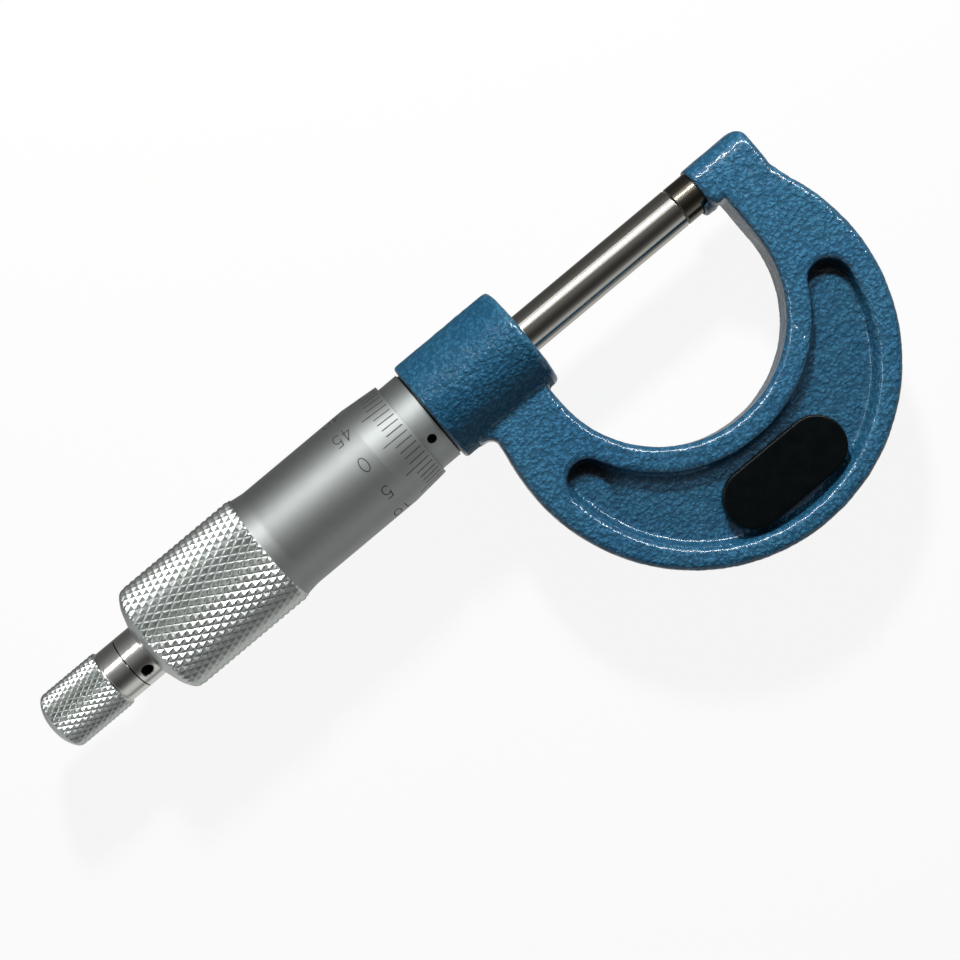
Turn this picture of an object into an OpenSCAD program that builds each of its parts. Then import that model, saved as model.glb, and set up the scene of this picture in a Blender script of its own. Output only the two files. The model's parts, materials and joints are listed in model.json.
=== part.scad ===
// Outside micrometer with a 25 mm travel, a lever lock and a ratchet stop.
//
// X runs along the spindle's axis, from the ratchet towards the anvil. The origin is the centre of
// the anvil's measuring face. The bow of the frame lies towards -Y, the back of the frame faces +Z,
// and the reading side, with the lock lever, faces -Z. Every length is in millimetres.
// Pieces that travel with the spindle are dimensioned with the measuring faces closed, and are
// drawn open_gap further along -X.

/* [Measuring faces] */
// Diameter of the spindle and of the anvil
spindle_d = 6.5; // [6.3:0.1:6.6]
// Gap between the measuring faces, as drawn
open_gap = 0.25; // [0.05:0.05:1]
// Travel of the spindle
travel = 25; // [20:1:25]
// How far the anvil stands out of the frame
anvil_reach = 3.7; // [3:0.1:4.5]
// Bevel round each measuring face
face_bevel = 0.15; // [0.05:0.05:0.2]

/* [Frame] */
// Thickness of the bow
frame_t = 8.8; // [8.4:0.1:9.6]
// Radius of the bow's outer edge
bow_r = 31; // [30.5:0.1:32]
// Radius of the throat
throat_r = 19.1; // [18.5:0.1:19.5]
// Depth of the crescent pocket in each side of the bow
pocket_depth = 2.5; // [1:0.1:2.8]
// Length of the heat-insulating pads
pad_len = 21.4; // [18:0.1:22]
// Width of the heat-insulating pads
pad_w = 9.5; // [8:0.1:10]

/* [Barrel and sleeve] */
// Diameter of the frame's barrel
barrel_d = 17.3; // [17:0.1:18]
// Length of the frame's barrel
barrel_len = 18.2; // [18:0.1:19]
// Distance from the anvil's face to the barrel
jaw_room = 30.1; // [29:0.1:31]
// Diameter of the graduated sleeve
sleeve_d = 15.3; // [15:0.1:15.4]
// Diameter of the holes that the spanner's pin enters
spanner_hole_d = 1.5; // [1.2:0.1:1.6]

/* [Thimble] */
// Diameter of the thimble behind its bevel
thimble_d = 17.6; // [17.4:0.1:18]
// Diameter of the thimble's front edge
bevel_d = 16.5; // [16.3:0.1:17]
// Length of the graduated bevel
bevel_len = 6.2; // [5:0.1:7]
// Diameter of the knurled band
knurl_d = 18.9; // [18.5:0.1:19.5]

/* [Ratchet stop] */
// Diameter of the collar and of the knob's smooth ring
collar_d = 8.9; // [8.8:0.1:9.4]
// Diameter of the knob's knurled part
knob_d = 9.8; // [9.6:0.1:10.4]
// Number of ratchet teeth
teeth = 12; // [6:1:12]
// Height of the ratchet teeth, which the sliding ring lifts to slip
tooth_h = 0.4; // [0.2:0.05:0.4]

/* [Lock] */
// Distance from the lock's axis to the tip of its lever
lever_reach = 12; // [10:0.5:13]
// Thickness of the lever
lever_t = 1.5; // [1:0.1:1.6]

/* [Hidden] */
$fn = 96;

fit = 0.03;    // radial clearance of a running fit
skin = 1;      // how far a cutting shape runs past what it cuts
spindle_r = spindle_d / 2;
half_t = frame_t / 2;

// Outline of the frame, in X and Y
bow_centre = [-13.3, -19.5];
throat_centre = [-13.2, -11.1];
neck_x = -43.2;              // outer edge of the neck under the barrel
arm_x = 14.3;                // outer edge of the arm that holds the anvil
arm_y = 3.75;                // half the arm's width across the anvil
arm_corner_r = 2.1;
neck_fillet_r = 2;           // between the neck and the barrel
shoulder_y = -5.3;           // where the bow's outer edge meets the arm
pocket_centre = [-13.3, -20.7];
pocket_r = 26.75;            // outer wall of the pocket
pocket_inner_r = 22.9;       // inner wall of the pocket, round throat_centre
lobe_r = 3.3;                // round ends of the pocket
pad_centre = [-13.4, -40.7];
pad_gap = 0.2;               // the pads lie this far under the rim

// Stations along the barrel
barrel_front = -jaw_room;
barrel_rear = barrel_front - barrel_len;
barrel_r = barrel_d / 2;
barrel_front_round = 0.8;
barrel_rear_round = 0.4;
bush_r = 5.2;                // inner sleeve where the frame holds it
bush_front = barrel_front - 1;
core_r = 6.2;                // inner sleeve inside the graduated sleeve
core_rear = barrel_rear - 19.7;
guide_rear = bush_front - 15.1;
thread_r = 3.75;             // crests of the spindle's thread
thread_front = guide_rear - 0.3;
nut_front = thread_front - travel;
split_r = 5.8;               // slotted end of the inner sleeve
taper_r = 5.6;               // thread for the adjusting nut
sleeve_r = sleeve_d / 2;
zero_line = barrel_rear - 3.5;        // the thimble's front edge, with the faces closed
sleeve_rear = zero_line - travel - 1.7;
nut_len = 3.8;
nut_x = sleeve_rear - 0.5;
core_end = nut_x - nut_len - 0.2;
adjusting_nut_r = 6.9;
slots = 3;
slot_w = 0.8;
sleeve_gap = 0.3;            // joint between the barrel and the graduated sleeve
flange_r = sleeve_r - 0.3;     // shoulder of the inner sleeve, seen in that joint

// Stations along the thimble, with the faces closed
bore_r = sleeve_r + 0.12;
knurl_front = zero_line - 28.05;
knurl_lead = 2.5;            // length of the cone in front of the knurled band
knurl_rear = zero_line - 48.5;
thimble_rear = zero_line - 51.35;
cavity_end = zero_line - 41.2;
seat_front_r = 4.2;          // taper on which the thimble sits
seat_rear_r = 3.3;
seat_rear = thimble_rear + 2.55;
stud_r = 2;
stud_hole_front = seat_rear + 7.4;

// Stations along the ratchet stop, with the faces closed
collar_rear = thimble_rear - 3.12;
end_play = 0.05;             // between the knob and the pieces that hold it
knob_front = collar_rear - end_play;
knob_step = collar_rear - 3.4;
knob_end = collar_rear - 15.1;
chamber_r = 3.4;
ring_r = 3.3;
ring_bore = 2.2;
spigot_r = 2.1;
spigot_flat = 1.8;           // half the width across the spigot's two flats
spigot_end = collar_rear - 9.78;
ring_front = collar_rear - 3.08;
ring_rear = ring_front - 1.65;
knob_ring_front = ring_rear - tooth_h - end_play;
knob_ring_rear = knob_ring_front - 1.55;
washer_t = 0.4;
counterbore_r = 2.75;
screw_r = 1.2;
head_r = 2.2;
head_h = 1.7;
wire_r = 0.2;
coil_r = 2.75;
coil_turns = 4;

// Lock, on an axis parallel to Z
lock_x = barrel_front - 7.4;
spot_z = -7.5;               // flat under the lever
lever_z = -8.9;              // side of the lever next to the barrel
hub_r = 3.8;
lock_stud_r = 2;
lock_pin_r = 1.5;
tip_r = 1.5;
stud_top = -bush_r - 0.1;
rest_angle = -110;           // direction of the lever, unlocked

// Angles of the spanner's holes round the axis, from +Z towards -Y
sleeve_hole_angle = 26;
collar_hole_angle = 36;
countersink = 0.35;          // depth of the bevel round the collar's hole

// A solid of revolution round the spindle's axis, from [radius, x] points
module turned(outline) rotate([0, 90, 0]) rotate_extrude() polygon(outline);

// A solid cylinder on the spindle's axis
module rod(r, from, to) translate([min(from, to), 0, 0]) rotate([0, 90, 0])
    cylinder(r = r, h = abs(to - from));

// A solid cylinder on an axis parallel to Z
module post(r, x, from, to) translate([x, 0, min(from, to)]) cylinder(r = r, h = abs(to - from));

// A radial drill through the spindle's axis, turned from +Z towards -Y
module radial(r, x, angle, from, to) rotate([angle, 0, 0]) post(r, x, from, to);

// Moves what travels with the spindle to the gap that is drawn
module carried() translate([-open_gap, 0, 0]) children();

module frame_outline() {
    difference() {
        union() {
            intersection() {
                translate(bow_centre) circle(r = bow_r, $fn = 240);
                translate([-60, -60]) square([120, 60 + shoulder_y]);
            }
            translate([neck_x, -25]) square([throat_centre.x - throat_r - neck_x, 25]);
            neck_fillet();
            arm_outline();
        }
        translate(throat_centre) circle(r = throat_r, $fn = 240);
        translate([throat_centre.x - throat_r, throat_centre.y])
            square([2 * throat_r, -arm_y - throat_centre.y]);
    }
}

module neck_fillet() translate([neck_x, -barrel_r]) difference() {
    translate([-neck_fillet_r, -neck_fillet_r]) square([neck_fillet_r + skin, neck_fillet_r + 2]);
    translate([-neck_fillet_r, -neck_fillet_r]) circle(r = neck_fillet_r);
}

module arm_outline() {
    translate([anvil_reach, -15]) square([arm_x - anvil_reach, 15 + arm_y - arm_corner_r]);
    translate([anvil_reach, 0]) square([arm_x - arm_corner_r - anvil_reach, arm_y]);
    translate([arm_x - arm_corner_r, arm_y - arm_corner_r]) circle(r = arm_corner_r);
}

// Height of the centre of a lobe that touches both walls of the pocket
function lobe_y() = (pow(pocket_inner_r + lobe_r, 2) - pow(pocket_r - lobe_r, 2)
    + pow(pocket_centre.y, 2) - pow(throat_centre.y, 2)) / (2 * (pocket_centre.y - throat_centre.y));

function lobe_dx() = sqrt(pow(pocket_r - lobe_r, 2) - pow(lobe_y() - pocket_centre.y, 2));

// A crescent between two circles, closed at each end by a round lobe
module pocket_outline() {
    lobe = [lobe_dx(), lobe_y() - pocket_centre.y];
    outward = lobe / norm(lobe);
    translate([pocket_centre.x, 0]) {
        difference() {
            translate([0, pocket_centre.y]) circle(r = pocket_r, $fn = 240);
            translate([0, throat_centre.y]) circle(r = pocket_inner_r, $fn = 240);
            for (side = [-1, 1]) scale([side, 1])
                translate([0, pocket_centre.y])
                    polygon([[0, 0], lobe, lobe + 2 * lobe_r * outward, [40, 60], [0, 60]]);
        }
        for (side = [-1, 1]) translate([side * lobe_dx(), lobe_y()]) circle(r = lobe_r);
    }
}

module stadium(length, width) {
    square([length - width, width], center = true);
    for (side = [-1, 1]) translate([side * (length - width) / 2, 0]) circle(d = width);
}

// The barrel's outside, with a round at each end
module barrel_blank() rotate([0, 90, 0]) rotate_extrude() {
    front = barrel_front_round;
    rear = barrel_rear_round;
    translate([0, barrel_rear + rear]) square([barrel_r, barrel_len - front - rear]);
    translate([0, barrel_rear]) square([barrel_r - rear, rear]);
    translate([0, barrel_front - front]) square([barrel_r - front, front]);
    translate([barrel_r - rear, barrel_rear + rear]) circle(r = rear);
    translate([barrel_r - front, barrel_front - front]) circle(r = front);
}

module frame() color("steelblue") difference() {
    union() {
        linear_extrude(frame_t, center = true) frame_outline();
        barrel_blank();
    }
    for (side = [-1, 1]) translate([0, 0, side * (half_t - pocket_depth / 2 + skin / 2)])
        linear_extrude(pocket_depth + skin, center = true) pocket_outline();
    rod(bush_r, barrel_rear - skin, bush_front);
    rod(spindle_r + 0.3, bush_front - skin, barrel_front + skin);
    rod(spindle_r - 0.25, anvil_reach - skin, arm_x - 1.5);
    post(lock_stud_r + fit, lock_x, spot_z - skin, 0);
    post(hub_r + 0.8, lock_x, spot_z - 2 * skin, spot_z);
}

module anvil() color("dimgray") turned([
    [0, arm_x - 1.6], [spindle_r - 0.25, arm_x - 1.6], [spindle_r - 0.25, anvil_reach],
    [spindle_r, anvil_reach], [spindle_r, face_bevel], [spindle_r - face_bevel, 0], [0, 0]
]);

module pad(side) color("black")
    translate([pad_centre.x, pad_centre.y, side * (half_t - (pocket_depth + pad_gap) / 2)])
        linear_extrude(pocket_depth - pad_gap, center = true) stadium(pad_len, pad_w);

module back_pad() pad(1);

module front_pad() pad(-1);

// Guide for the spindle, pressed into the frame, with the slotted nut at its rear end
module inner_sleeve() color("silver") difference() {
    turned([
        [spindle_r + fit, bush_front], [bush_r, bush_front], [bush_r, barrel_rear],
        [flange_r, barrel_rear], [flange_r, barrel_rear - sleeve_gap], [core_r, barrel_rear - sleeve_gap],
        [core_r, core_rear], [split_r, core_rear], [split_r, nut_x + 0.2],
        [taper_r, nut_x + 0.2], [taper_r, core_end], [thread_r + fit, core_end],
        [thread_r + fit, nut_front], [thread_r + 0.35, nut_front],
        [thread_r + 0.35, guide_rear], [spindle_r + fit, guide_rear]
    ]);
    for (i = [0 : slots - 1]) rotate([i * 360 / slots, 0, 0])
        translate([core_end - skin, -slot_w / 2, 0])
            cube([core_rear - core_end, slot_w, 2 * core_r]);
    post(tip_r + 0.1, lock_x, -bush_r - skin, 0);
}

module outer_sleeve() color("gainsboro") difference() {
    turned([
        [core_r, barrel_rear - sleeve_gap], [sleeve_r, barrel_rear - sleeve_gap],
        [sleeve_r, sleeve_rear], [core_r, sleeve_rear]
    ]);
    radial(spanner_hole_d / 2, barrel_rear - 2.15, sleeve_hole_angle, 0, sleeve_r + skin);
}

// Draws the slotted end of the inner sleeve together round the spindle's thread
module adjusting_nut() color("silver") difference() {
    turned([
        [taper_r, nut_x], [adjusting_nut_r, nut_x],
        [adjusting_nut_r, nut_x - nut_len], [taper_r, nut_x - nut_len]
    ]);
    for (turn = [0, 180]) rotate([turn, 0, 0])
        translate([nut_x - nut_len - skin, -0.75, taper_r + 0.3]) cube([nut_len / 2 + skin, 1.5, 3]);
}

module spindle() color("lightgray") carried() turned([
    [0, 0], [spindle_r - face_bevel, 0], [spindle_r, -face_bevel],
    [spindle_r, thread_front + 0.2], [thread_r, thread_front - 0.3],
    [thread_r, core_end - 1.5], [seat_rear_r, core_end - 1.7], [seat_rear_r, core_end - 2.5],
    [seat_front_r, core_end - 2.9], [seat_front_r, cavity_end], [seat_rear_r, seat_rear],
    [stud_r + fit, seat_rear], [stud_r + fit, stud_hole_front], [0, stud_hole_front]
]);

module thimble() color("gainsboro") carried() turned([
    [bore_r, zero_line], [bevel_d / 2, zero_line], [thimble_d / 2, zero_line - bevel_len],
    [thimble_d / 2, knurl_front + knurl_lead], [knurl_d / 2, knurl_front],
    [knurl_d / 2, knurl_rear], [knurl_d / 2 - 0.35, knurl_rear - 0.85],
    [knurl_d / 2 - 1.7, knurl_rear - 1.75], [5.3, thimble_rear + 0.2], [4.7, thimble_rear],
    [seat_rear_r + fit, thimble_rear], [seat_rear_r + fit, seat_rear],
    [seat_front_r + fit, cavity_end], [bore_r, cavity_end]
]);

// A spigot with two flats, which keeps the sliding ring from turning
module flatted(r, flat) intersection() {
    circle(r = r);
    square([2 * flat, 4 * r], center = true);
}

module ratchet_body() color("gainsboro") carried() difference() {
    union() {
        rod(stud_r, stud_hole_front - 0.3, thimble_rear);
        rod(seat_rear_r - 0.05, seat_rear - 0.05, thimble_rear);
        rod(collar_d / 2, thimble_rear, collar_rear);
        translate([ring_rear - tooth_h, 0, 0]) rotate([0, 90, 0])
            linear_extrude(collar_rear - ring_rear + tooth_h) flatted(spigot_r, spigot_flat);
        rod(spigot_r, ring_rear - tooth_h, spigot_end);
    }
    rod(screw_r, spigot_end - skin, spigot_end + 7.5);
    radial(spanner_hole_d / 2, thimble_rear - 1.55, collar_hole_angle, collar_d / 2 - 1.6, collar_d);
    rotate([collar_hole_angle, 0, 0]) translate([thimble_rear - 1.55, 0, collar_d / 2 - countersink])
        cylinder(r1 = spanner_hole_d / 2, r2 = spanner_hole_d / 2 + 2 * countersink, h = 2 * countersink);
}

// Centre line of the spring: closed end coils and an even pitch between them
function coil_x(turn) = ring_front + 0.05 + wire_r
    + (collar_rear - ring_front - 0.1 - 2 * wire_r) * (turn / coil_turns);

// One ring of points round the wire
function wire_ring(turn) = [for (k = [0 : 7]) let (a = 45 * k, r = coil_r + wire_r * cos(a), t = 360 * turn)
    [coil_x(turn) + wire_r * sin(a), r * cos(t), r * sin(t)]];

// Triangles that join the rings of a wire of eight sides, with a cap at each end
function wire_faces(rings) = concat(
    [for (i = [0 : rings - 2], k = [0 : 7])
        [8 * i + k, 8 * i + (k + 1) % 8, 8 * i + 8 + (k + 1) % 8, 8 * i + 8 + k]],
    [[for (k = [7 : -1 : 0]) k]],
    [[for (k = [0 : 7]) 8 * (rings - 1) + k]]
);

module ratchet_spring() color("dimgray") carried() {
    steps = 20 * coil_turns;
    polyhedron([for (i = [0 : steps]) each wire_ring(i / 20)], wire_faces(steps + 1));
}

// Face teeth round the spindle's axis, standing on the plane x = 0 towards +X
module face_teeth(offset) for (i = [0 : teeth - 1]) rotate([(i + offset) * 360 / teeth, 0, 0])
    translate([0, 0, ring_bore]) linear_extrude(ring_r - ring_bore)
        polygon([[0, -0.24], [0, 0.24], [tooth_h, 0.2], [tooth_h, 0.04]]);

module ring_blank(r, from, to, flats) translate([min(from, to), 0, 0]) rotate([0, 90, 0])
    linear_extrude(abs(to - from)) difference() {
        circle(r = r);
        flatted(ring_bore, flats);
    }

module sliding_ratchet_ring() color("silver") carried() {
    ring_blank(ring_r, ring_front, ring_rear, spigot_flat + 0.05);
    translate([ring_rear, 0, 0]) rotate([0, 180, 0]) face_teeth(0);
}

module knob_ratchet_ring() color("silver") carried() {
    ring_blank(chamber_r, knob_ring_front, knob_ring_rear, ring_bore);
    translate([knob_ring_front, 0, 0]) face_teeth(0.5);
}

module ratchet_knob() color("gainsboro") carried() turned([
    [chamber_r, knob_front], [collar_d / 2, knob_front], [collar_d / 2, knob_step],
    [knob_d / 2, knob_step - 0.5], [knob_d / 2, knob_end + 1.7], [knob_d / 2 - 0.2, knob_end + 1.1],
    [knob_d / 2 - 0.8, knob_end + 0.6], [counterbore_r + 0.6, knob_end + 0.2],
    [counterbore_r + 0.1, knob_end], [counterbore_r, knob_end], [counterbore_r, spigot_end + end_play],
    [spigot_r + fit, spigot_end + end_play], [spigot_r + fit, knob_ring_rear], [chamber_r, knob_ring_rear]
]);

module ratchet_washer() color("silver") carried() turned([
    [screw_r + 0.1, spigot_end], [counterbore_r - 0.1, spigot_end],
    [counterbore_r - 0.1, spigot_end - washer_t], [screw_r + 0.1, spigot_end - washer_t]
]);

module ratchet_screw() color("silver") carried() difference() {
    under_head = spigot_end - washer_t;
    union() {
        rod(screw_r, spigot_end + 7, under_head);
        rod(head_r, under_head, under_head - head_h);
    }
    translate([under_head - head_h - skin, -head_r - skin, -0.3])
        cube([skin + 0.7, 2 * (head_r + skin), 0.6]);
}

module lock_stud() color("silver") difference() {
    union() {
        post(lock_stud_r, lock_x, spot_z + 0.1, stud_top);
        post(lock_pin_r, lock_x, lever_z - lever_t + 0.3, spot_z + 0.1);
    }
    post(0.8, lock_x, lever_z - lever_t, spot_z + 1);
}

module lock_tip() color("gold") post(tip_r, lock_x, stud_top, -spindle_r - 0.05);

module lock_washer() color("silver") translate([lock_x, 0, spot_z - 0.3]) difference() {
    cylinder(r = hub_r - 0.2, h = 0.25);
    translate([0, 0, -skin]) cylinder(r = lock_pin_r, h = 3 * skin);
}

// A hub on the stud and a tapered arm with a round finger end
module lock_lever() color("silver") difference() {
    union() {
        post(hub_r, lock_x, lever_z - lever_t, spot_z - 0.3);
        translate([lock_x, 0, lever_z - lever_t]) rotate([0, 0, rest_angle]) linear_extrude(lever_t) {
            polygon([[0, -hub_r + 0.6], [0, hub_r - 0.6], [lever_reach - 2, 2], [lever_reach - 2, -2]]);
            translate([lever_reach - 2, 0]) circle(r = 2);
        }
    }
    post(lock_pin_r, lock_x, lever_z - lever_t - skin, 0);
    post(head_r + 0.1, lock_x, lever_z - lever_t - skin, lever_z - lever_t + 0.3);
}

module lock_screw() color("silver") difference() {
    union() {
        post(head_r, lock_x, lever_z - lever_t - 0.6, lever_z - lever_t + 0.3);
        post(0.8, lock_x, lever_z - lever_t + 0.3, spot_z + 0.5);
    }
    translate([lock_x - head_r - skin, -0.25, lever_z - lever_t - 0.6 - skin])
        cube([2 * (head_r + skin), 0.5, skin + 0.4]);
}

frame();
anvil();
back_pad();
front_pad();
inner_sleeve();
outer_sleeve();
adjusting_nut();
spindle();
thimble();
ratchet_body();
ratchet_spring();
sliding_ratchet_ring();
ratchet_knob();
knob_ratchet_ring();
ratchet_washer();
ratchet_screw();
lock_stud();
lock_tip();
lock_washer();
lock_lever();
lock_screw();
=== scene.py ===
"""The looks of an outside micrometer with a 25 mm travel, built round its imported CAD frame.

X runs along the spindle from the ratchet towards the anvil, with the anvil's measuring face at the
origin. The bow lies towards -Y and the back of the frame faces +Z. Dimensions below are in
millimetres, as in the CAD source, and are turned into metres where a mesh is made.
"""

import json
import math

import bmesh
import bpy
import numpy as np
import openvdb
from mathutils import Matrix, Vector, noise


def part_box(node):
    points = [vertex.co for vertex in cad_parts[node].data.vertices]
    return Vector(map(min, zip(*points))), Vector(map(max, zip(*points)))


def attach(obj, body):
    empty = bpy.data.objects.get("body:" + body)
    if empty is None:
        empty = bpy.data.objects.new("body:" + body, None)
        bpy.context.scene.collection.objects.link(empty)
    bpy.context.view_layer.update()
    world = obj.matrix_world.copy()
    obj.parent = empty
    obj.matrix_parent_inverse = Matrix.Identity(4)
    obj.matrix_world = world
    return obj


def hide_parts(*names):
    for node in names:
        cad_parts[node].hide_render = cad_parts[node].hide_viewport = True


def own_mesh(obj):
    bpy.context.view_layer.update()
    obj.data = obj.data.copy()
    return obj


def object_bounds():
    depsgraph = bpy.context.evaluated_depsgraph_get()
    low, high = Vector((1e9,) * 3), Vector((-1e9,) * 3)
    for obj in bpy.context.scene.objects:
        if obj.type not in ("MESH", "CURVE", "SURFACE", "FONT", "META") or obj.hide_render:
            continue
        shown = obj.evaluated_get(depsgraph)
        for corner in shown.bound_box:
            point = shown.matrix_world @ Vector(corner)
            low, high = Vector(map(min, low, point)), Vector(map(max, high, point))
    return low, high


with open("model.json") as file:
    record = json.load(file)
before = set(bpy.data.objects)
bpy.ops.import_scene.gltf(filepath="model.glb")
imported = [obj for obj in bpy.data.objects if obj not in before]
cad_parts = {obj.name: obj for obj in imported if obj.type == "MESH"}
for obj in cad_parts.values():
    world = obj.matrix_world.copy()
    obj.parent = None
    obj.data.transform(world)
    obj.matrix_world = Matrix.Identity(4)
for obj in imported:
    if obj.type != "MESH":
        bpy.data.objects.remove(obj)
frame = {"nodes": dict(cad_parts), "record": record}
CAD_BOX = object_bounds()
MM = 0.001


# ---------------------------------------------------------------- stations read from the frame

def low(node, axis):
    """Lowest coordinate of a CAD node along an axis, in millimetres."""
    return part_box(node)[0][axis] / MM


def high(node, axis):
    """Highest coordinate of a CAD node along an axis, in millimetres."""
    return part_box(node)[1][axis] / MM


ANVIL_REACH = 3.7                             # the arm's face behind the anvil's measuring face
ANVIL_END = high("anvil", 0)
SPINDLE_R = high("anvil", 2)
HALF_T = 4.4                                  # half the bow's thickness
BARREL_REAR = low("frame", 0)
BARREL_FRONT = BARREL_REAR + 18.2
BARREL_R = high("frame", 2)
LOCK_X = (low("lock_stud", 0) + high("lock_stud", 0)) / 2
SLEEVE_R = high("outer_sleeve", 2)
COLLAR_R = high("ratchet_body", 2)
THIMBLE_FRONT = high("thimble", 0)
THIMBLE_REAR = low("thimble", 0)
KNURL_R = high("thimble", 2)
KNOB_FRONT = high("ratchet_knob", 0)
KNOB_REAR = low("ratchet_knob", 0)
KNOB_R = high("ratchet_knob", 2)
SPINDLE_TIP = high("spindle", 0)
SPINDLE_REAR = low("spindle", 0)
FLOOR_Z = CAD_BOX[0].z / MM

BOW_CENTRE, BOW_R = (-13.3, -19.5), 31.0
THROAT_CENTRE, THROAT_R = (-13.2, -11.1), 19.1
ARM_X, ARM_TOP, ARM_CORNER_R = 14.3, 3.75, 2.1
NECK_X = -43.2
SHOULDER_Y = -5.3
POCKET_CENTRE, POCKET_R, POCKET_INNER_R, LOBE_R = (-13.3, -20.7), 26.75, 22.9, 3.3
POCKET_DEPTH = 2.5
CASTING_GRID = 0.305                          # keeps the casting just under 200,000 triangles
PAD_CENTRE, PAD_LENGTH, PAD_WIDTH = (-13.4, -40.7), 21.4, 9.5
BEVEL_LENGTH, BEVEL_R, BODY_R = 6.2, 8.25, 8.8
BORE_R = SLEEVE_R + 0.12
KNURL_START = 27.6                            # from the thimble's front edge
GRIP_START = 3.7                              # from the knob's front edge
KNURL_CELLS = 8                               # lattice steps across one diamond of a knurl
FACE_BEVEL = 0.07                             # on the spindle's and the anvil's measuring faces
SCREW_HEAD_R = 2.2                            # of the lock's screw and of the knob's


def lobe_offset():
    """A lobe centre's distance from the pocket's centre: across the bow, and along Y."""
    outer, inner = POCKET_R - LOBE_R, POCKET_INNER_R + LOBE_R
    gap = inner**2 - outer**2 + POCKET_CENTRE[1] ** 2 - THROAT_CENTRE[1] ** 2
    rise = gap / (2 * (POCKET_CENTRE[1] - THROAT_CENTRE[1])) - POCKET_CENTRE[1]
    return math.sqrt(outer**2 - rise**2), rise


# ---------------------------------------------------------------- mesh helpers

def mesh_object(name, points_mm, faces, sharp_angle=None):
    """A new smooth mesh from points in millimetres, with its edges sharp above an angle."""
    mesh = bpy.data.meshes.new(name)
    mesh.from_pydata((np.asarray(points_mm, float) * MM).tolist(), [], [list(f) for f in faces])
    mesh.validate()
    mesh.shade_smooth()
    if sharp_angle is not None:
        mesh.set_sharp_from_angle(angle=math.radians(sharp_angle))
    obj = bpy.data.objects.new(name, mesh)
    bpy.context.scene.collection.objects.link(obj)
    return obj


def face_outward(obj, sharp_angle, merge=False):
    """Turns the faces outward and marks the sharp edges, after joining doubled points on request."""
    work = bmesh.new()
    work.from_mesh(obj.data)
    if merge:
        bmesh.ops.remove_doubles(work, verts=work.verts, dist=1e-7)
    bmesh.ops.recalc_face_normals(work, faces=work.faces)
    work.to_mesh(obj.data)
    work.free()
    obj.data.shade_smooth()
    obj.data.set_sharp_from_angle(angle=math.radians(sharp_angle))
    return obj


def second_finish(obj, finish, x0, x1, least, most=math.inf):
    """Gives the faces between two stations and two radii a second material."""
    obj.data.materials.append(finish)
    for face in obj.data.polygons:
        c = face.center / MM
        if x0 < c.x < x1 and least < math.hypot(c.y, c.z) < most:
            face.material_index = 1


def dress(obj, material, body, stands_for=()):
    """Gives a new piece its material and its body, and hides the CAD nodes it stands for."""
    obj.data.materials.clear()
    obj.data.materials.append(material)
    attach(obj, body)
    if stands_for:
        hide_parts(*stands_for)
    return obj


# ---------------------------------------------------------------- materials

def new_material(name, metallic, roughness, coat=0.0, coat_roughness=0.1):
    """A node material with its constants on the shader's own sockets."""
    material = bpy.data.materials.new(name)
    material.use_nodes = True
    shader = material.node_tree.nodes["Principled BSDF"]
    shader.inputs["Metallic"].default_value = metallic
    shader.inputs["Roughness"].default_value = roughness
    shader.inputs["Coat Weight"].default_value = coat
    shader.inputs["Coat Roughness"].default_value = coat_roughness
    return material


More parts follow.
